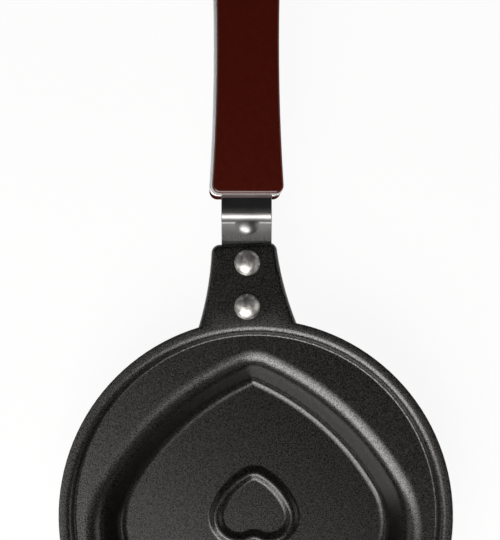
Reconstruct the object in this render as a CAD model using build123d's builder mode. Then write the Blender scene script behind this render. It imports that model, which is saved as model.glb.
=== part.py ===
from build123d import *
import math
import os

# A mini frying pan with a heart-shaped well, pressed in one piece with its handle tab.
# A steel strap is riveted under the tab, steps up and runs on between the two handle scales.
# The origin is the middle of the round rim, on the surface that the pan stands on.
# +Y points along the handle and +Z up. All sizes are in millimetres.

# Pan sheet and round rim
sheet = 1.2                  # thickness of the pressed pan sheet
rim_radius = 60.0            # outer edge of the flat rim
rim_width = 3.77             # flat rim, from its outer edge to the top of the rim wall
rim_rise = 2.6               # height of the flat rim above the shelf
rim_draft = 19.5             # lean of the rim wall from upright, in degrees
rim_shoulder_fillet = 2.3    # rounding at the top of the rim wall
rim_foot_fillet = 0.9        # rounding at the foot of the rim wall
rim_edge_fillet = 0.3        # deburred outer edge of the rim

# Heart-shaped well
ledge_width = 7.83           # shelf beside the widest place of the heart
well_depth = 14.4            # from the shelf down to the floor
well_draft = 23.0            # lean of the well's wall from upright, in degrees
well_shoulder_fillet = 6.5   # rounding from the shelf into the well
well_foot_fillet = 3.0       # rounding from the wall into the floor
well_tip_fillet = 2.0        # rounding of the heart's tip, at the floor
heart_x = -0.7               # the stamped heart lies this far beside the rim's middle
heart_y = -4.35              # the heart's widest place, along the handle

# Proportions of both hearts, as shares of their half widths
lobe_share = 0.526           # radius of the two lobes
side_share = 1.98            # radius of the two long sides
well_tip_share = 1.087       # from the widest place up to the tip
emblem_tip_share = 1.209
well_notch_share = 0.10      # depth of the notch between the lobes
emblem_notch_share = 0.11

# Small heart, embossed as a ridge on the floor of the well
emblem_half_width = 9.8      # inner foot of the ridge
emblem_x = -0.5              # beside the rim's middle
emblem_y = -2.2              # its widest place, along the handle
ridge_width = 4.3            # from the outer to the inner foot of the ridge
ridge_height = 1.0
ridge_crest = 1.0            # width of the ridge's crest before it is rounded
ridge_crest_fillet = 1.5
ridge_foot_fillet = 1.6
emblem_tip_fillet = 2.2
groove_depth = 0.8           # the same ridge, seen from below

# Handle tab, pressed out of the rim, with its edges turned down
tab_length = 23.0            # beyond the rim
tab_lean = 2.5               # the tab points this many degrees off the handle's line
tab_end_half_width = 9.8
tab_middle_half_width = 11.25
tab_middle_place = 11.2      # from the tab's end
tab_root_half_width = 16.5
tab_root_overlap = 6.0       # the tab grows out of the rim this far inside the rim's edge
tab_corner_fillet = 2.6
tab_edge_fillet = 1.5
tab_edge_drop = 0.9          # the turned-down edges reach this far below the sheet

# Steel strap: foot under the tab, neck, and core between the scales
strap_sheet = 1.2
strap_width = 15.3
strap_edge_fillet = 0.25
strap_x = -2.8               # the middle of the strap's neck, beside the rim's middle
foot_gap = 0.8               # the strap starts this far inside the rim's edge
neck_slope_start = 0.7       # flat part of the strap beyond the tab's end
neck_slope_rise = 0.5        # the lower plate of the neck lifts this much up to the step
neck_bend = 3.0              # bend radii on the strap's middle plane
step_start = 6.35            # from the tab's end to the foot of the step
step_run = 0.1               # length of the step
step_rise = 4.1              # height of the step
step_foot_bend = 0.9
step_top_bend = 2.05
lead_drop = 0.4              # the strap dips this much where it enters the scales
lead_run = 1.1
lead_bend = 0.7
lead_gap = 0.2               # the dip ends this far in front of the upper scale
lead_lap = 4.0               # the strap's even width runs this far between the scales
dimple_radius = 3.65         # round dimple pressed up into the corner of the step
dimple_height = 1.5
dimple_setback = 0.11        # its middle lies this far past the foot of the step

# Handle scales
handle_x = -2.4              # the handle's line lies this far beside the rim's middle
neck_length = 14.9           # from the tab's end to the front of the upper scale
handle_length = 108.0
scale_thickness = 4.0
scale_front_half_width = 10.95
scale_waist_half_width = 9.4
scale_rear_half_width = 11.4
scale_waist = 42.5           # from the front to the waist
scale_front_corner = 2.4
scale_rear_corner = 8.0
scale_edge_fillet = 0.9
core_margin = 0.35           # the steel core is this much larger all round
core_shift_x = -0.6          # the core lies off the upper scale by this much
core_forward = 0.5
core_edge_fillet = 0.5
lower_shift_x = -0.9         # and the lower scale by this much
lower_forward = 1.65

# Hanging hole through the scales and the core
hanging_hole_radius = 2.5
hanging_hole_inset = 9.0     # from the handle's end to the hole's middle
hanging_hole_chamfer = 0.4

# Two rivets through the tab and the strap
rivet_x = -2.6               # their line, and the dimple's middle, beside the rim's middle
rivet_hole_radius = 2.1
rivet_head_radius = 3.93
rivet_head_height = 2.6
rivet_head_edge = 0.3        # upright edge of the head, under its dome
rivet_tail_radius = 3.2
rivet_tail_height = 1.2
rivet_tail_edge = 0.3
front_rivet_y = 3.7          # from the rim's edge to the rivet next to the pan
rivet_pitch = 13.4           # between the two rivets

# Three countersunk screws, driven from below into blind holes in the upper scale
screw_radius = 1.45
screw_head_radius = 2.8
screw_head_angle = 90.0
screw_recess = 0.15          # the heads lie this far inside the lower scale
screw_bite = 2.6             # length of thread in the upper scale
screw_end_gap = 0.4          # the blind holes are this much deeper
screw_point = 0.3            # chamfer at the screw's end
screw_clearance = 0.05
screw_slot_width = 0.7       # cross recess
screw_slot_length = 3.0
screw_slot_depth = 1.0
screw_first = 13.0           # from the handle's front to the first screw
screw_last = 24.0            # from the last screw to the handle's end

os.makedirs("parts", exist_ok=True)

# Heights above the table
floor_z = sheet
shelf_z = floor_z + well_depth
rim_z = shelf_z + rim_rise
rim_under_z = rim_z - sheet
foot_z = rim_under_z - strap_sheet / 2
foot_under_z = rim_under_z - strap_sheet
neck_z = foot_z + neck_slope_rise
step_z = neck_z + step_rise
core_z = step_z - lead_drop
core_top_z = core_z + strap_sheet / 2
core_under_z = core_z - strap_sheet / 2
upper_top_z = core_top_z + scale_thickness
lower_under_z = core_under_z - scale_thickness
screw_under_z = lower_under_z + screw_recess
screw_end_z = core_top_z + screw_bite

# Places along the handle
tab_end_y = rim_radius + tab_length
step_y = tab_end_y + step_start
front_y = tab_end_y + neck_length
rear_y = front_y + handle_length
rivet_places = {
    "front_tab_rivet": rim_radius + front_rivet_y,
    "rear_tab_rivet": rim_radius + front_rivet_y + rivet_pitch,
}
first_screw_y = front_y + screw_first
last_screw_y = rear_y - screw_last
screw_places = {
    "front_handle_screw": first_screw_y,
    "middle_handle_screw": (first_screw_y + last_screw_y) / 2,
    "rear_handle_screw": last_screw_y,
}
hole_y = rear_y - hanging_hole_inset

# Rim wall and well wall: a wall that leans keeps its sheet's thickness
rim_slope = math.tan(math.radians(rim_draft))
well_slope = math.tan(math.radians(well_draft))
rim_wall_across = sheet / math.cos(math.radians(rim_draft))
well_wall_across = sheet / math.cos(math.radians(well_draft))
shelf_radius = rim_radius - rim_width - rim_rise * rim_slope
heart_half_width = shelf_radius - ledge_width - well_depth * well_slope
ridge_lean = math.degrees(math.atan((ridge_width - ridge_crest) / 2 / ridge_height))
ridge_rise = math.radians(90 - ridge_lean)
groove_inset = sheet * (1 - math.cos(ridge_rise)) / math.sin(ridge_rise)
groove_lean = groove_depth / math.tan(ridge_rise)
boss_growth = well_wall_across - sheet * well_slope
bowl_radius = shelf_radius + rim_wall_across - sheet * rim_slope
head_slope = math.tan(math.radians(screw_head_angle / 2))
sink_radius = screw_head_radius + screw_recess * head_slope
heart_plane = Plane((heart_x, heart_y, 0))
emblem_plane = Plane((emblem_x, emblem_y, 0))
tab_plane = Plane.XY.rotated((0, 0, tab_lean))


def arc_middle(centre, start, end):
    """The point halfway along the arc about centre from start to end."""
    towards = (start + end) * 0.5 - centre
    return centre + towards.normalized() * (start - centre).length


def ball_radius(cap_radius, cap_height):
    """The radius of the ball that a cap of this radius and height is cut from."""
    return (cap_radius**2 + cap_height**2) / (2 * cap_height)


def heart(half_width, tip_share, notch_share, tip_fillet, growth):
    """A heart with its widest place on the X axis and its tip towards +Y, grown all round.

    Each half is three tangent arcs: the long side from the tip, the lobe, and the notch.
    """
    lobe_radius = lobe_share * half_width
    side_radius = side_share * half_width
    tip = Vector(0, tip_share * half_width)
    lobe = Vector(half_width - lobe_radius, 0)
    notch = Vector(0, notch_share * half_width - lobe_radius)
    # The long side passes through the tip and touches the lobe from outside
    apart = (lobe - tip).length
    along = (apart**2 + side_radius**2 - (side_radius - lobe_radius) ** 2) / (2 * apart)
    beside = math.sqrt(side_radius**2 - along**2)
    run = (lobe - tip).normalized()
    side = tip + run * along + Vector(run.Y, -run.X) * beside
    # The notch arc lies between the lobes and touches both
    notch_radius = (lobe.X**2 + notch.Y**2 - lobe_radius**2) / (2 * (lobe_radius + notch.Y))
    notch_centre = notch - Vector(0, notch_radius)
    # Growing the outline keeps the centres of its arcs
    lobe_radius += growth
    side_radius += growth
    notch_radius -= growth
    notch = notch_centre + Vector(0, notch_radius)
    tip = Vector(0, side.Y + math.sqrt(side_radius**2 - side.X**2))
    side_end = lobe + (lobe - side).normalized() * lobe_radius
    notch_end = lobe + (notch_centre - lobe).normalized() * lobe_radius
    with BuildSketch(mode=Mode.PRIVATE) as outline:
        with BuildLine():
            ThreePointArc(notch, arc_middle(notch_centre, notch, notch_end), notch_end)
            ThreePointArc(notch_end, arc_middle(lobe, notch_end, side_end), side_end)
            ThreePointArc(side_end, arc_middle(side, side_end, tip), tip)
            mirror(about=Plane.YZ)
        make_face()
        fillet(outline.vertices().sort_by(Axis.Y)[-1], radius=tip_fillet + growth)
    return outline.sketch


def well_heart(growth=0.0):
    """The heart of the well, at its floor."""
    return heart(heart_half_width, well_tip_share, well_notch_share, well_tip_fillet, growth)


def emblem_heart(growth=0.0):
    """The small heart, at the inner foot of its ridge."""
    return heart(emblem_half_width, emblem_tip_share, emblem_notch_share, emblem_tip_fillet, growth)


def tab_outline(inset, beyond):
    """The tab from above, narrowed by inset on each side and lengthened by beyond."""
    root = Vector(tab_root_half_width - inset, rim_radius - tab_root_overlap)
    middle = Vector(tab_middle_half_width - inset, tab_end_y - tab_middle_place)
    end = Vector(tab_end_half_width - inset, tab_end_y)
    with BuildSketch(mode=Mode.PRIVATE) as outline:
        with BuildLine():
            Line((0, root.Y), root)
            ThreePointArc(root, middle, end)
            if beyond > 0:
                Line(end, end + Vector(0, beyond))
            Line(end + Vector(0, beyond), (0, tab_end_y + beyond))
            mirror(about=Plane.YZ)
        make_face()
    return outline.sketch


def handle_outline(growth=0.0):
    """The handle from above: straight front, slightly waisted sides and a round end."""
    front = Vector(scale_front_half_width + growth, front_y - growth)
    waist = Vector(scale_waist_half_width + growth, front_y + scale_waist)
    rear = Vector(scale_rear_half_width + growth, rear_y - scale_rear_half_width)
    end = Vector(0, rear_y + growth)
    with BuildSketch(mode=Mode.PRIVATE) as outline:
        with BuildLine():
            Line((0, front.Y), front)
            ThreePointArc(front, waist, rear)
            ThreePointArc(rear, arc_middle(Vector(0, rear.Y), rear, end), end)
            mirror(about=Plane.YZ)
        make_face()
        front_corners = [v for v in outline.vertices() if abs(v.Y - front.Y) < 0.01 and abs(v.X) > 1]
        fillet(front_corners, radius=scale_front_corner + growth)
        rear_corners = [v for v in outline.vertices() if abs(v.Y - rear.Y) < 0.01]
        fillet(rear_corners, radius=scale_rear_corner + growth)
    return outline.sketch


def level_edges(part, height):
    """The edges of a part that lie flat at one height."""
    return part.edges().filter_by_position(Axis.Z, height - 0.001, height + 0.001)


def reach(edge):
    """How far the middle of an edge lies from the pan's middle line."""
    return math.hypot((edge @ 0.5).X, (edge @ 0.5).Y)


# The space inside the pan: the shallow round recess and the heart-shaped well below it
with BuildPart() as pan_inside:
    with BuildSketch(Plane.XY.offset(shelf_z)):
        Circle(shelf_radius)
    extrude(amount=rim_rise, taper=-rim_draft)
    with BuildSketch(heart_plane.offset(floor_z)):
        add(well_heart())
    extrude(amount=well_depth, taper=-well_draft)
    shoulder = [e for e in level_edges(pan_inside, shelf_z) if reach(e) < shelf_radius - 0.1]
    fillet(shoulder, radius=well_shoulder_fillet)
    recess_foot = [e for e in level_edges(pan_inside, shelf_z) if reach(e) > shelf_radius - 0.1]
    fillet(recess_foot, radius=rim_foot_fillet)
    fillet(level_edges(pan_inside, floor_z), radius=well_foot_fillet)

# The small heart's ridge, and the groove that the same ridge leaves below
with BuildPart() as ridge:
    with BuildSketch(emblem_plane.offset(floor_z)):
        add(emblem_heart(ridge_width))
    extrude(amount=ridge_height, taper=ridge_lean)
    with BuildSketch(emblem_plane.offset(floor_z)):
        add(emblem_heart())
    extrude(amount=ridge_height, taper=-ridge_lean, mode=Mode.SUBTRACT)
    fillet(level_edges(ridge, floor_z + ridge_height), radius=ridge_crest_fillet)

with BuildPart() as groove:
    with BuildSketch(emblem_plane):
        add(emblem_heart(ridge_width - groove_inset))
    with BuildSketch(emblem_plane.offset(groove_depth)):
        add(emblem_heart(ridge_width - groove_inset - groove_lean))
    loft(ruled=True)
    with BuildSketch(emblem_plane):
        add(emblem_heart(groove_inset))
    with BuildSketch(emblem_plane.offset(groove_depth)):
        add(emblem_heart(groove_inset + groove_lean))
    loft(ruled=True, mode=Mode.SUBTRACT)

# The tab: a flat tongue whose sides are turned down, hollow below for the strap's foot
with BuildPart() as tab:
    with BuildSketch(tab_plane.offset(rim_under_z - tab_edge_drop)):
        add(tab_outline(0, 0))
    extrude(amount=sheet + tab_edge_drop)
    fillet(tab.edges().filter_by(Axis.Z).sort_by(Axis.Y)[-2:], radius=tab_corner_fillet)
    root_line = rim_radius - tab_root_overlap
    rolled = [e for e in level_edges(tab, rim_z) if tab_plane.to_local_coords(e @ 0.5).Y > root_line + 0.1]
    fillet(rolled, radius=tab_edge_fillet)
    with BuildSketch(tab_plane.offset(rim_under_z - tab_edge_drop)):
        add(tab_outline(sheet, tab_corner_fillet))
    extrude(amount=tab_edge_drop, mode=Mode.SUBTRACT)
    with Locations(*[(rivet_x, y, rim_z) for y in rivet_places.values()]):
        Hole(rivet_hole_radius)

# The pan: one pressing with its rim, shelf, well, embossed heart and tab
with BuildPart() as pan_body:
    with BuildSketch(heart_plane):
        add(well_heart(boss_growth))
    extrude(amount=shelf_z - sheet, taper=-well_draft)
    with BuildSketch(Plane.XY.offset(shelf_z - sheet)):
        Circle(bowl_radius)
    extrude(amount=rim_rise, taper=-rim_draft)
    boss_root = [e for e in level_edges(pan_body, shelf_z - sheet) if reach(e) < bowl_radius - 0.1]
    fillet(boss_root, radius=well_shoulder_fillet - sheet)
    bowl_foot = [e for e in level_edges(pan_body, shelf_z - sheet) if reach(e) > bowl_radius - 0.1]
    fillet(bowl_foot, radius=rim_foot_fillet + sheet)
    fillet(level_edges(pan_body, 0), radius=well_foot_fillet + sheet)
    with BuildSketch(Plane.XY.offset(rim_under_z)):
        Circle(rim_radius)
    extrude(amount=sheet)
    rim_root = [e for e in level_edges(pan_body, rim_under_z) if reach(e) < rim_radius - 0.1]
    fillet(rim_root, radius=rim_shoulder_fillet - sheet)
    outer = [e for z in (rim_z, rim_under_z) for e in level_edges(pan_body, z) if reach(e) > rim_radius - 0.1]
    fillet(outer, radius=rim_edge_fillet)
    add(tab.part)
    add(pan_inside.part, mode=Mode.SUBTRACT)
    rim_shoulder = [e for e in level_edges(pan_body, rim_z) if reach(e) < rim_radius - rim_width + 0.1]
    fillet(rim_shoulder, radius=rim_shoulder_fillet)
    add(ridge.part)
    near = emblem_half_width + 2 * ridge_width
    fillet([e for e in level_edges(pan_body, floor_z) if reach(e) < near], radius=ridge_foot_fillet)
    add(groove.part, mode=Mode.SUBTRACT)
pan_body.part.label = "pan_body"
export_step(pan_body.part, "parts/pan_body.step")

# The strap's dimple: a cap of a ball, cut off where it meets the step, and its hollow below
dimple_ball = ball_radius(dimple_radius, dimple_height)
dimple_y = step_y + dimple_setback
dimple_z = neck_z + strap_sheet / 2 + dimple_height - dimple_ball
dimple_cut = Plane.XZ.offset(-step_y - strap_sheet / 2)
with BuildPart() as dimple:
    with Locations((rivet_x, dimple_y, dimple_z)):
        Sphere(dimple_ball)
    split(bisect_by=Plane.XY.offset(neck_z), keep=Keep.TOP)
    split(bisect_by=dimple_cut, keep=Keep.TOP)

with BuildPart() as dimple_hollow:
    with Locations((rivet_x, dimple_y, dimple_z)):
        Sphere(dimple_ball - strap_sheet)
    split(bisect_by=dimple_cut.offset(strap_sheet), keep=Keep.TOP)

# The core: the wide end of the strap, between the scales
with BuildPart() as core:
    with BuildSketch(Plane((handle_x + core_shift_x, -core_forward, core_under_z))):
        add(handle_outline(core_margin))
    extrude(amount=strap_sheet)
    fillet(level_edges(core, core_top_z) + level_edges(core, core_under_z), radius=core_edge_fillet)

# The strap: one piece of steel from its foot under the tab, up the step and into the handle
with BuildPart() as handle_strap:
    with BuildSketch(Plane.YZ.offset(strap_x - strap_width / 2)):
        with BuildLine():
            FilletPolyline(
                (rim_radius - foot_gap, foot_z),
                (tab_end_y + neck_slope_start, foot_z),
                (step_y + strap_sheet / 2, neck_z),
                (step_y + strap_sheet / 2 + step_run, step_z),
                (front_y - lead_gap - lead_run, step_z),
                (front_y - lead_gap, core_z),
                (front_y + lead_lap, core_z),
                radius=[neck_bend, step_foot_bend, step_top_bend, lead_bend, lead_bend],
            )
        trace(line_width=strap_sheet)
    extrude(amount=strap_width)
    strap_sides = handle_strap.faces().filter_by(Axis.X)
    fillet(strap_sides.edges(), radius=strap_edge_fillet)
    add(dimple.part)
    add(dimple_hollow.part, mode=Mode.SUBTRACT)
    add(core.part)
    with Locations(*[(rivet_x, y, foot_z) for y in rivet_places.values()]):
        Hole(rivet_hole_radius)
    with Locations(*[(handle_x, y, core_z) for y in screw_places.values()]):
        Hole(screw_radius + screw_clearance)
    with Locations((handle_x, hole_y, core_z)):
        Hole(hanging_hole_radius)
handle_strap.part.label = "handle_strap"
export_step(handle_strap.part, "parts/handle_strap.step")

# The upper scale, with blind holes for the screws
with BuildPart() as upper_scale:
    with BuildSketch(Plane((handle_x, 0, core_top_z))):
        add(handle_outline())
    extrude(amount=scale_thickness)
    fillet(level_edges(upper_scale, upper_top_z), radius=scale_edge_fillet)
    with Locations((handle_x, hole_y, upper_top_z)):
        Hole(hanging_hole_radius)
    mouth = level_edges(upper_scale, upper_top_z).filter_by(lambda e: e.is_closed)
    chamfer(mouth, length=hanging_hole_chamfer)
    with Locations(*[(handle_x, y, core_top_z) for y in screw_places.values()]):
        blind_hole = screw_bite + screw_end_gap
        Cylinder(screw_radius, blind_hole, align=(Align.CENTER, Align.CENTER, Align.MIN), mode=Mode.SUBTRACT)
upper_scale.part.label = "upper_scale"
export_step(upper_scale.part, "parts/upper_scale.step")

# The lower scale, with countersunk holes
with BuildPart() as lower_scale:
    with BuildSketch(Plane((handle_x + lower_shift_x, -lower_forward, lower_under_z))):
        add(handle_outline())
    extrude(amount=scale_thickness)
    fillet(level_edges(lower_scale, lower_under_z), radius=scale_edge_fillet)
    with Locations((handle_x, hole_y, lower_under_z)):
        Hole(hanging_hole_radius)
    mouth = level_edges(lower_scale, lower_under_z).filter_by(lambda e: e.is_closed)
    chamfer(mouth, length=hanging_hole_chamfer)
    with Locations(*[Plane((handle_x, y, lower_under_z), z_dir=(0, 0, -1)) for y in screw_places.values()]):
        CounterSinkHole(screw_radius + screw_clearance, sink_radius, counter_sink_angle=screw_head_angle)
lower_scale.part.label = "lower_scale"
export_step(lower_scale.part, "parts/lower_scale.step")

# The two rivets: a domed head on the tab, a shank that fills its hole, and a formed tail
for name, place in rivet_places.items():
    with BuildPart() as rivet:
        with BuildSketch(Plane((rivet_x, place, 0), x_dir=(1, 0, 0), z_dir=(0, -1, 0))):
            with BuildLine():
                head_top = Vector(0, rim_z + rivet_head_height)
                head_rim = Vector(rivet_head_radius, rim_z + rivet_head_edge)
                tail_rim = Vector(rivet_tail_radius, foot_under_z - rivet_tail_edge)
                tail_top = Vector(0, foot_under_z - rivet_tail_height)
                head_ball = Vector(0, head_top.Y - ball_radius(head_rim.X, head_top.Y - head_rim.Y))
                tail_ball = Vector(0, tail_top.Y + ball_radius(tail_rim.X, tail_rim.Y - tail_top.Y))
                ThreePointArc(head_top, arc_middle(head_ball, head_top, head_rim), head_rim)
                Polyline(
                    head_rim,
                    (rivet_head_radius, rim_z),
                    (rivet_hole_radius, rim_z),
                    (rivet_hole_radius, foot_under_z),
                    (rivet_tail_radius, foot_under_z),
                    tail_rim,
                )
                ThreePointArc(tail_rim, arc_middle(tail_ball, tail_rim, tail_top), tail_top)
                Line(tail_top, head_top)
            make_face()
        revolve(axis=Axis((rivet_x, place, 0), (0, 0, 1)))
    rivet.part.label = name
    export_step(rivet.part, f"parts/{name}.step")

# The three countersunk screws, each with a cross recess
for name, place in screw_places.items():
    with BuildPart() as screw:
        with BuildSketch(Plane((handle_x, place, 0), x_dir=(1, 0, 0), z_dir=(0, -1, 0))):
            with BuildLine():
                Polyline(
                    (0, screw_under_z),
                    (screw_head_radius, screw_under_z),
                    (screw_radius, screw_under_z + (screw_head_radius - screw_radius) / head_slope),
                    (screw_radius, screw_end_z - screw_point),
                    (screw_radius - screw_point, screw_end_z),
                    (0, screw_end_z),
                    close=True,
                )
            make_face()
        revolve(axis=Axis((handle_x, place, 0), (0, 0, 1)))
        with Locations((handle_x, place, screw_under_z)):
            slot = (Align.CENTER, Align.CENTER, Align.MIN)
            Box(screw_slot_length, screw_slot_width, screw_slot_depth, align=slot, mode=Mode.SUBTRACT)
            Box(screw_slot_width, screw_slot_length, screw_slot_depth, align=slot, mode=Mode.SUBTRACT)
    screw.part.label = name
    export_step(screw.part, f"parts/{name}.step")
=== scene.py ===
import math

import bmesh
import bpy
import numpy as np
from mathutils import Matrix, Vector


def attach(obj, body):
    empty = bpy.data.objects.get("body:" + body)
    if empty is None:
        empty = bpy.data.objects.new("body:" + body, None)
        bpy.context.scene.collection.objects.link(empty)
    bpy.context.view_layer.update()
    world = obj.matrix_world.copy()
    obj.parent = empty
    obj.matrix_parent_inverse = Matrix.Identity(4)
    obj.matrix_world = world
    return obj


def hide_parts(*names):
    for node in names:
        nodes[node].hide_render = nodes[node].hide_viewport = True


# A mini frying pan with a heart-shaped well, seen from straight above with its handle pointing up.
# The round rim's middle is the origin, the handle points along +Y, and +Z is up. Lengths are in
# metres, except in the pan's section, which repeats the CAD's sizes in millimetres.
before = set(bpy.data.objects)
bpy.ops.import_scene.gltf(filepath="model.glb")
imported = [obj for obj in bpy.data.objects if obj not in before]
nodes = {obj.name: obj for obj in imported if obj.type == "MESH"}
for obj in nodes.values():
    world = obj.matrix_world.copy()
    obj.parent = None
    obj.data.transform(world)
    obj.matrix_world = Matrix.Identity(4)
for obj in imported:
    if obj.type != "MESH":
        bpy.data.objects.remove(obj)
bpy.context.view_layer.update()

# The pan: one pressing of steel sheet, sprayed with a black non-stick coating and baked. The rim,
# the shelf, the heart-shaped well, the small embossed heart and the handle tab are all one skin.
# The coating is a soft orange peel with fine grey flecks, and is smoother low on the well's wall.


class Shade:
    """A socket of a node, in one material. Sums, differences and products with it add Math nodes."""

    def __init__(self, tree, socket=None):
        self.tree = tree
        self.socket = socket

    def node(self, kind, settings=None, sockets=None, out=0):
        """Adds a node of the given type. Its settings come first, then its sockets' values or links."""
        made = self.tree.nodes.new(kind)
        for name, value in (settings or {}).items():
            if name == "stops":
                while len(made.color_ramp.elements) < len(value):
                    made.color_ramp.elements.new(1.0)
                for stop, (position, colour) in zip(made.color_ramp.elements, value):
                    stop.position = position
                    stop.color = (*(colour if isinstance(colour, tuple) else (colour,) * 3), 1.0)
            else:
                setattr(made, name, value)
        for name, value in (sockets or {}).items():
            if isinstance(value, Shade):
                self.tree.links.new(value.socket, made.inputs[name])
            else:
                made.inputs[name].default_value = value
        return Shade(self.tree, made.outputs[out])

    def maths(self, operation, first, second):
        return self.node("ShaderNodeMath", {"operation": operation}, {0: first, 1: second})

    def __add__(self, other):
        return self.maths("ADD", self, other)

    def __sub__(self, other):
        return self.maths("SUBTRACT", self, other)

    def __rsub__(self, other):
        return self.maths("SUBTRACT", other, self)

    def __mul__(self, other):
        return self.maths("MULTIPLY", self, other)

    __radd__ = __add__
    __rmul__ = __mul__


def new_finish(name):
    """An empty material, its shader, and a Shade to build on."""
    finish = bpy.data.materials.new(name)
    finish.use_nodes = True
    tree = finish.node_tree
    return finish, tree.nodes["Principled BSDF"], Shade(tree)


def feed(shader, **sockets):
    """Links or sets the shader's sockets, named with underscores for spaces."""
    for name, value in sockets.items():
        socket = shader.inputs[name.replace("_", " ")]
        if isinstance(value, Shade):
            value.tree.links.new(value.socket, socket)
        else:
            socket.default_value = value


# Thickness of the sheet, and the heights that the floor, the shelf and the flat rim lie at
sheet = 1.2
well_depth = 14.4
rim_rise = 2.6
floor_z = sheet
shelf_z = floor_z + well_depth
rim_z = shelf_z + rim_rise

coating, shader, start = new_finish("black_nonstick_coating")
place = start.node("ShaderNodeTexCoord", out="Object")
grit = start.node("ShaderNodeTexNoise", None, {"Vector": place, "Scale": 2400.0, "Detail": 0.0})
peel = start.node("ShaderNodeTexNoise", None, {"Vector": place, "Scale": 300.0, "Detail": 2.0})
black = (0.0003, 0.0003, 0.0003)
dark_grey = (0.0025, 0.0022, 0.0019)
fleck_grey = (0.014, 0.013, 0.012)
flecks = start.node(
    "ShaderNodeValToRGB",
    {"stops": [(0.36, black), (0.50, dark_grey), (0.66, fleck_grey)]},
    {"Fac": grit},
)
sheen = start.node("ShaderNodeTexNoise", None, {"Vector": place, "Scale": 2700.0, "Detail": 0.0})
glints = start.node("ShaderNodeValToRGB", {"stops": [(0.38, 0.05), (0.58, 1.0)]}, {"Fac": sheen})

# The rough top layer of the coating, from 0 to 1: none low on the wall, and full from the shelf up
height = start.node("ShaderNodeSeparateXYZ", None, {"Vector": place}, out="Z")
thickness = start.node(
    "ShaderNodeValToRGB",
    {"stops": [(0.0, 1.0), (0.25, 0.0), (0.5, 0.0), (0.75, 0.506), (1.0, 1.0)]},
    {"Fac": height * (1000.0 / shelf_z)},
)
relief = grit + peel * 0.25
grain = start.node("ShaderNodeBump", None, {"Height": relief, "Strength": 0.25, "Distance": 0.0001})
feed(shader, Base_Color=flecks, Roughness=0.15 + thickness * 0.09 + grit * 0.06, Normal=grain)
feed(shader, Specular_IOR_Level=0.36, Coat_Weight=glints * thickness, Coat_Roughness=0.34)

# The pan's mesh stays the CAD's, merged in a copy. Its normals were averaged over facets, which
# draws dashes along the highlights, so those of the rim's wall and of both hearts are worked out.
bare = nodes["pan_body"].data
cad_facing = np.zeros(len(bare.loops) * 3)
bare.corner_normals.foreach_get("vector", cad_facing)
skin_mesh = bare.copy()
skin_mesh.attributes.new("cad_facing", "FLOAT_VECTOR", "CORNER").data.foreach_set("vector", cad_facing)
merged = bmesh.new()
merged.from_mesh(skin_mesh)
bmesh.ops.remove_doubles(merged, verts=merged.verts, dist=1e-7)
merged.to_mesh(skin_mesh)
merged.free()

# One row for each corner of a face: its normal, and its place in millimetres
facing = np.zeros(len(skin_mesh.loops) * 3)
skin_mesh.attributes["cad_facing"].data.foreach_get("vector", facing)
skin_mesh.attributes.remove(skin_mesh.attributes["cad_facing"])
facing = facing.reshape(-1, 3)
vertex_places = np.zeros(len(skin_mesh.vertices) * 3)
skin_mesh.vertices.foreach_get("co", vertex_places)
vertex_of_corner = np.zeros(len(skin_mesh.loops), dtype=int)
skin_mesh.loops.foreach_get("vertex_index", vertex_of_corner)
spots = vertex_places.reshape(-1, 3)[vertex_of_corner] * 1000.0
reach = np.linalg.norm(spots[:, :2], axis=1)

# Only the corners of faces that look up are turned, which leaves the underside out
least_upward = 0.05
slack = 0.01
face_normals = np.zeros(len(skin_mesh.polygons) * 3)
skin_mesh.polygon_normals.foreach_get("vector", face_normals)
face_sides = np.zeros(len(skin_mesh.polygons), dtype=int)
skin_mesh.polygons.foreach_get("loop_total", face_sides)
upward = np.repeat(face_normals.reshape(-1, 3)[:, 2], face_sides) > least_upward


def wall_rise(z, lean, foot_z, foot_fillet, top_z, top_fillet):
    """The upward share of the normal at heights z of a wall with a rounded foot and top. It is the sine
    of the wall's lean from upright, and on a rounding it grows evenly with the height, to 1 at its end."""
    straight = math.sin(math.radians(lean))
    by_top = z > top_z - top_fillet * (1 - straight)
    by_foot = z < foot_z + foot_fillet * (1 - straight)
    rise = np.where(by_top, (z - top_z + top_fillet) / top_fillet, straight)
    return np.where(by_foot, (foot_z + foot_fillet - z) / foot_fillet, rise)


def turn_corners(here, rise, towards):
    """Gives the chosen corners a normal with the given upward share. The level rest of it, the root of one
    minus the share's square, points towards a direction."""
    rise = np.clip(rise, 0.0, 1.0)
    facing[here] = np.column_stack((towards * np.sqrt(1.0 - rise**2)[:, None], rise))


# The round wall from the shelf up to the flat rim. Its top runs on into the rim in a slight crown.
rim_radius = 60.0
rim_width = 3.77
rim_draft = 19.5
rim_shoulder_fillet = 2.3
rim_foot_fillet = 0.9
rim_wall_start = 54.3
rim_wall_end = 57.9
crown_tilt = 7.0
crown_start = 1.0
here = upward & (reach > rim_wall_start) & (reach < rim_wall_end) & (spots[:, 2] > shelf_z - slack)
z = spots[here, 2]
rise = wall_rise(z, rim_draft, shelf_z, rim_foot_fillet, rim_z, rim_shoulder_fillet)
steepest = 90.0 - rim_draft
crowned = math.radians(crown_tilt) + np.arccos(np.clip(rise, 0, 1)) * (1 - crown_tilt / steepest)
rise = np.where(z > shelf_z + crown_start, np.cos(crowned), rise)
turn_corners(here, rise, -spots[here, :2] / reach[here, None])

# Radii of a heart's lobes and long sides, as shares of half its width
lobe_share = 0.526
side_share = 1.98


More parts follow.
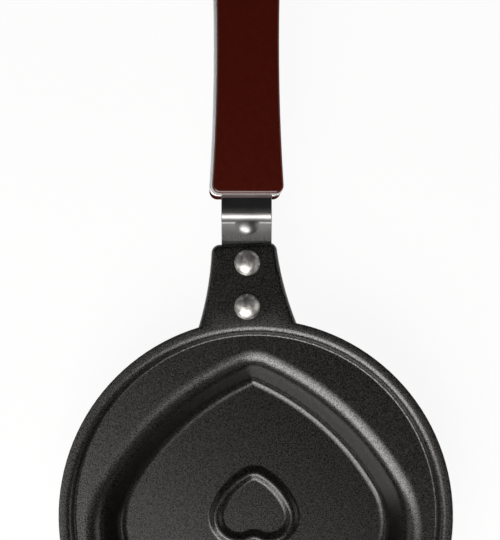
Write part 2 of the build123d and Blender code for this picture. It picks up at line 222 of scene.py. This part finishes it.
def heart_arcs(half_width, tip_share, notch_share, tip_fillet):
    """The centres and radii of the right half's arcs, for a heart with its tip towards +Y and its widest
    place on the X axis. The long side passes through the sharp tip and touches the lobe, the notch
    touches both lobes, and the rounded tip touches both long sides. A negative radius bends inwards."""
    lobe_radius = lobe_share * half_width
    side_radius = side_share * half_width
    lobe = np.array((half_width - lobe_radius, 0.0))
    run = lobe - (0.0, tip_share * half_width)
    apart = np.linalg.norm(run)
    along = (apart**2 + side_radius**2 - (side_radius - lobe_radius) ** 2) / (2 * apart)
    beside = math.sqrt(side_radius**2 - along**2)
    side = (0.0, tip_share * half_width) + (run * along + np.array((run[1], -run[0])) * beside) / apart
    notch_y = notch_share * half_width - lobe_radius
    notch_radius = (lobe[0] ** 2 + notch_y**2 - lobe_radius**2) / (2 * (lobe_radius + notch_y))
    notch = np.array((0.0, notch_y - notch_radius))
    tip = np.array((0.0, side[1] + math.sqrt((side_radius - tip_fillet) ** 2 - side[0] ** 2)))
    return {
        "side": (side, side_radius),
        "lobe": (lobe, lobe_radius),
        "notch": (notch, -notch_radius),
        "tip": (tip, tip_fillet),
    }


def away_from_heart(arcs, middle, points):
    """For points seen from above, the directions straight away from a heart, and how far outside it they
    lie. The left half is mirrored onto the right one. The lines through the centres of neighbouring arcs
    say which arc a point belongs to, and the direction is the one from that arc's centre."""
    mirror = np.ones_like(points)
    mirror[points[:, 0] < middle[0], 0] = -1.0
    local = (points - middle) * mirror
    side, lobe, notch, tip = (arcs[name][0] for name in ("side", "lobe", "notch", "tip"))

    def left_of(line_start, line_end):
        run = line_end - line_start
        return run[0] * (local[:, 1] - line_start[1]) - run[1] * (local[:, 0] - line_start[0]) > 0

    belongs = {"tip": left_of(side, tip)}
    belongs["side"] = left_of(side, lobe) & ~belongs["tip"]
    belongs["notch"] = left_of(notch, lobe) & (local[:, 1] < 0) & ~belongs["side"] & ~belongs["tip"]
    belongs["lobe"] = ~(belongs["tip"] | belongs["side"] | belongs["notch"])
    towards = np.zeros_like(local)
    outside = np.zeros(len(local))
    for name, chosen in belongs.items():
        centre, radius = arcs[name]
        offset = local[chosen] - centre
        distance = np.linalg.norm(offset, axis=1)
        towards[chosen] = offset / distance[:, None] * math.copysign(1.0, radius)
        outside[chosen] = (distance - abs(radius)) * math.copysign(1.0, radius)
    return towards * mirror, outside


# The wall of the well, from the floor up to the shelf, all round the large heart
ledge_width = 7.83
well_draft = 23.0
well_shoulder_fillet = 6.5
well_foot_fillet = 3.0
heart_middle = np.array((-0.7, -4.35))
emblem_middle = np.array((-0.5, -2.2))
emblem_reach = 20.0
shelf_radius = rim_radius - rim_width - rim_rise * math.tan(math.radians(rim_draft))
heart_half_width = shelf_radius - ledge_width - well_depth * math.tan(math.radians(well_draft))
well_heart = heart_arcs(heart_half_width, tip_share=1.087, notch_share=0.10, tip_fillet=2.0)
near_emblem = np.linalg.norm(spots[:, :2] - emblem_middle, axis=1) < emblem_reach
here = upward & ~near_emblem & (reach < rim_wall_start)
here &= (spots[:, 2] > floor_z - slack) & (spots[:, 2] < shelf_z + slack)
rise = wall_rise(spots[here, 2], well_draft, floor_z, well_foot_fillet, shelf_z, well_shoulder_fillet)
away, _ = away_from_heart(well_heart, heart_middle, spots[here, :2])
turn_corners(here, rise, -away)

# The ridge of the small heart: two flanks, equally steep, with a rounded crest and foot
emblem_half_width = 9.8
ridge_width = 4.3
ridge_height = 1.0
ridge_crest = 1.0
ridge_crest_fillet = 1.5
ridge_foot_fillet = 1.6
emblem_heart = heart_arcs(emblem_half_width, tip_share=1.209, notch_share=0.11, tip_fillet=2.2)
here = upward & near_emblem
here &= (spots[:, 2] > floor_z - slack) & (spots[:, 2] < floor_z + 1.5 * ridge_height)
away, outside = away_from_heart(emblem_heart, emblem_middle, spots[here, :2])
flank = math.atan(ridge_height / ((ridge_width - ridge_crest) / 2))
off_crest = np.abs(outside - ridge_width / 2)
crest_end = ridge_crest / 2 - ridge_crest_fillet * math.tan(flank / 2)
foot_end = ridge_width / 2 + ridge_foot_fillet * math.tan(flank / 2)
on_crest = np.clip((off_crest - crest_end) / ridge_crest_fillet, 0, 1)
on_foot = np.clip((foot_end - off_crest) / ridge_foot_fillet, 0, 1)
level = np.minimum(np.minimum(on_crest, on_foot), math.sin(flank))
turn_corners(here, np.sqrt(1 - level**2), away * np.sign(outside - ridge_width / 2)[:, None])

skin_mesh.normals_split_custom_set(facing.tolist())
skin_mesh.materials.clear()
skin_mesh.materials.append(coating)
skin = bpy.data.objects.new("pan_skin", skin_mesh)
bpy.context.collection.objects.link(skin)
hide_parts("pan_body")
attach(skin, "root")

# The strap: one strip of stainless steel, polished by a belt along its length. Its foot is riveted
# under the tab, its neck steps up behind a dimple, and it widens into the core between the scales,
# where its edge was sanded with them and is bright and matt.


def wear(node, finish):
    """Gives a piece of the frame its finish, in every slot it has."""
    for slot in nodes[node].material_slots:
        slot.material = finish


# Painted shade darkens the strap most half way up these heights, on its step and dimple; it is roughest in
# this stretch round its step
neck_low_z = 0.0157
neck_span_z = 0.0078
neck_start_y = 0.0824
neck_span_y = 0.0117
scales_front_y = 0.0975
strap_steel, shader, start = new_finish("strap_steel")
place = start.node("ShaderNodeTexCoord", out="Object")
belted = start.node("ShaderNodeMapping", None, {"Vector": place, "Scale": (1.0, 0.05, 1.0)})
lines = start.node("ShaderNodeTexNoise", None, {"Vector": belted, "Scale": 2500.0, "Detail": 2.0})
brushing = start.node("ShaderNodeBump", None, {"Height": lines, "Strength": 0.03, "Distance": 0.0001})
smears = start.node("ShaderNodeTexNoise", None, {"Vector": place, "Scale": 110.0, "Detail": 3.0})
along = start.node("ShaderNodeSeparateXYZ", None, {"Vector": place}, out="Y")
height = start.node("ShaderNodeSeparateXYZ", None, {"Vector": place}, out="Z")
sanded = start.maths("GREATER_THAN", along, scales_front_y)
# Painted shade: the colour is darker on the step and the dimple, half way up the heights above
step_shade_paint = start.node(
    "ShaderNodeValToRGB",
    {"stops": [(0.0, 0.5), (0.5, 0.061), (1.0, 0.6)]},
    {"Fac": (height - neck_low_z) * (1.0 / neck_span_z)},
)
rough = start.node(
    "ShaderNodeValToRGB",
    {"stops": [(0.0, 0.20), (1 / 3, 0.274), (2 / 3, 0.45), (1.0, 0.13)]},
    {"Fac": (along - neck_start_y) * (1.0 / neck_span_y)},
)
feed(shader, Base_Color=step_shade_paint * (smears * 0.8 + 0.6) + sanded * 0.5, Metallic=1.0)
feed(shader, Roughness=rough + sanded * 0.4 + lines * 0.06, Normal=brushing)
wear("handle_strap", strap_steel)

# The rivets: soft aluminium, driven from above through the tab and the strap. Their domes were
# rolled smooth by the tool and carry fine marks from it, and dull scuffs.
rivet_metal, shader, start = new_finish("rivet_metal")
place = start.node("ShaderNodeTexCoord", out="Object")
marks = start.node("ShaderNodeTexNoise", None, {"Vector": place, "Scale": 900.0, "Detail": 4.0})
scuffs = start.node("ShaderNodeTexNoise", None, {"Vector": place, "Scale": 420.0, "Detail": 2.0})
scuffed = start.node(
    "ShaderNodeValToRGB",
    {"stops": [(0.40, (0.32, 0.315, 0.305)), (0.56, (0.72, 0.705, 0.68))]},
    {"Fac": scuffs},
)
dents = start.node("ShaderNodeBump", None, {"Height": marks, "Strength": 0.8, "Distance": 0.0001})
feed(shader, Base_Color=scuffed, Metallic=1.0, Roughness=0.3 + marks * 0.3, Normal=dents)
for name in ("front_tab_rivet", "rear_tab_rivet"):
    wear(name, rivet_metal)

# The scales: two slabs of dark red-brown phenolic resin, pressed, with their edges sanded round.
# They lie on both sides of the strap's core.
scale_resin, shader, start = new_finish("scale_resin")
place = start.node("ShaderNodeTexCoord", out="Object")
cloud = start.node("ShaderNodeTexNoise", None, {"Vector": place, "Scale": 700.0, "Detail": 5.0})
brown = start.node(
    "ShaderNodeValToRGB",
    {"stops": [(0.3, (0.044, 0.0026, 0.0004)), (0.7, (0.052, 0.0036, 0.0008))]},
    {"Fac": cloud},
)
pores = start.node("ShaderNodeBump", None, {"Height": cloud, "Strength": 0.05, "Distance": 0.0001})
feed(shader, Base_Color=brown, Roughness=0.2 + cloud * 0.05, Normal=pores)
for name in ("upper_scale", "lower_scale"):
    wear(name, scale_resin)

# The screws: three countersunk screws of the strap's steel, driven from below through the lower
# scale and the core into blind holes in the upper scale.
for name in ("front_handle_screw", "middle_handle_screw", "rear_handle_screw"):
    wear(name, strap_steel)

# The floor: a plain white surface under the pan's flat bottom. The camera, and the metal's
# reflections, see it white, and it still takes the pan's shadow.
floor_reach = 3.0
floor_under = 0.0002
white_share = 0.93
square = np.array([(-1, -1, 0), (1, -1, 0), (1, 1, 0), (-1, 1, 0)]) * floor_reach
floor_mesh = bpy.data.meshes.new("floor")
floor_mesh.from_pydata((square - (0, 0, floor_under)).tolist(), [], [(0, 1, 2, 3)])
floor = bpy.data.objects.new("floor", floor_mesh)
bpy.context.collection.objects.link(floor)
floor_white, shader, start = new_finish("floor_white")
feed(shader, Base_Color=(0.8, 0.8, 0.8, 1.0), Roughness=0.9)
seen = start.node("ShaderNodeLightPath", out="Is Camera Ray")
mirrored = start.node("ShaderNodeLightPath", out="Is Glossy Ray")
through = start.node("ShaderNodeLightPath", out="Is Transmission Ray")
lit = Shade(start.tree, shader.outputs[0])
white = start.node("ShaderNodeEmission", None, {"Color": (1, 1, 1, 1), "Strength": 1.0})
share = (seen + mirrored + through) * white_share
both = start.node("ShaderNodeMixShader", None, {0: share, 1: lit, 2: white})
start.tree.links.new(both.socket, start.tree.nodes["Material Output"].inputs["Surface"])
floor_mesh.materials.append(floor_white)

# The light: soft rectangles of warm white in a room that is dim above and lighter at its sides. Two
# stand one above the other at the pan's far side from the handle, a weak one hangs above them, and
# two wide ones stand low and farther away, to the left and the right.


def lamp(name, azimuth, elevation, away, width, height, watts):
    """A rectangle of light that faces the pan, at an azimuth clockwise from +Y, an elevation above the
    table and a distance."""
    aim = Vector((0.0, 0.04, 0.02))
    turn, rise = math.radians(azimuth), math.radians(elevation)
    towards = Vector((math.sin(turn) * math.cos(rise), math.cos(turn) * math.cos(rise), math.sin(rise)))
    light = bpy.data.lights.new(name, "AREA")
    light.shape = "RECTANGLE"
    light.size, light.size_y, light.energy = width, height, watts
    light.color = (1.0, 0.975, 0.95)
    lamp_object = bpy.data.objects.new(name, light)
    lamp_object.location = aim + towards * away
    lamp_object.rotation_euler = towards.to_track_quat("Z", "Y").to_euler()
    bpy.context.collection.objects.link(lamp_object)


lamp("key", 200, 35.5, 0.55, 0.56, 0.26, 4.0)
lamp("key_top", 200, 56, 0.55, 0.56, 0.142, 1.2)
lamp("glow", 215, 66, 0.50, 0.34, 0.17, 0.36)
lamp("left", 270, 18, 1.2, 0.8, 0.5, 0.9)
lamp("right", 90, 18, 1.2, 0.8, 0.5, 1.5)

room = bpy.data.worlds.new("room")
room.use_nodes = True
sky = Shade(room.node_tree)
direction = sky.node("ShaderNodeTexCoord", out="Generated")
upwards = sky.node("ShaderNodeSeparateXYZ", None, {"Vector": direction}, out="Z")
dim = sky.node(
    "ShaderNodeValToRGB",
    {"stops": [(0.0, 0.20), (0.2, 0.14), (0.45, 0.05), (0.9, 0.03)]},
    {"Fac": upwards},
)
room.node_tree.links.new(dim.socket, room.node_tree.nodes["Background"].inputs["Color"])
bpy.context.scene.world = room

# The camera: 600 mm above the rim, looking straight down at the handle tab. Its long lens takes in
# the photograph's frame, which cuts off the near side of the pan and the end of the handle.
camera = bpy.data.objects.new("camera", bpy.data.cameras.new("camera"))
camera.location = (-0.001763, 0.07486, 0.6 + rim_z / 1000.0)
camera.data.lens = 131.6
bpy.context.collection.objects.link(camera)
bpy.context.scene.camera = camera
bpy.context.scene.view_settings.view_transform = "Standard"
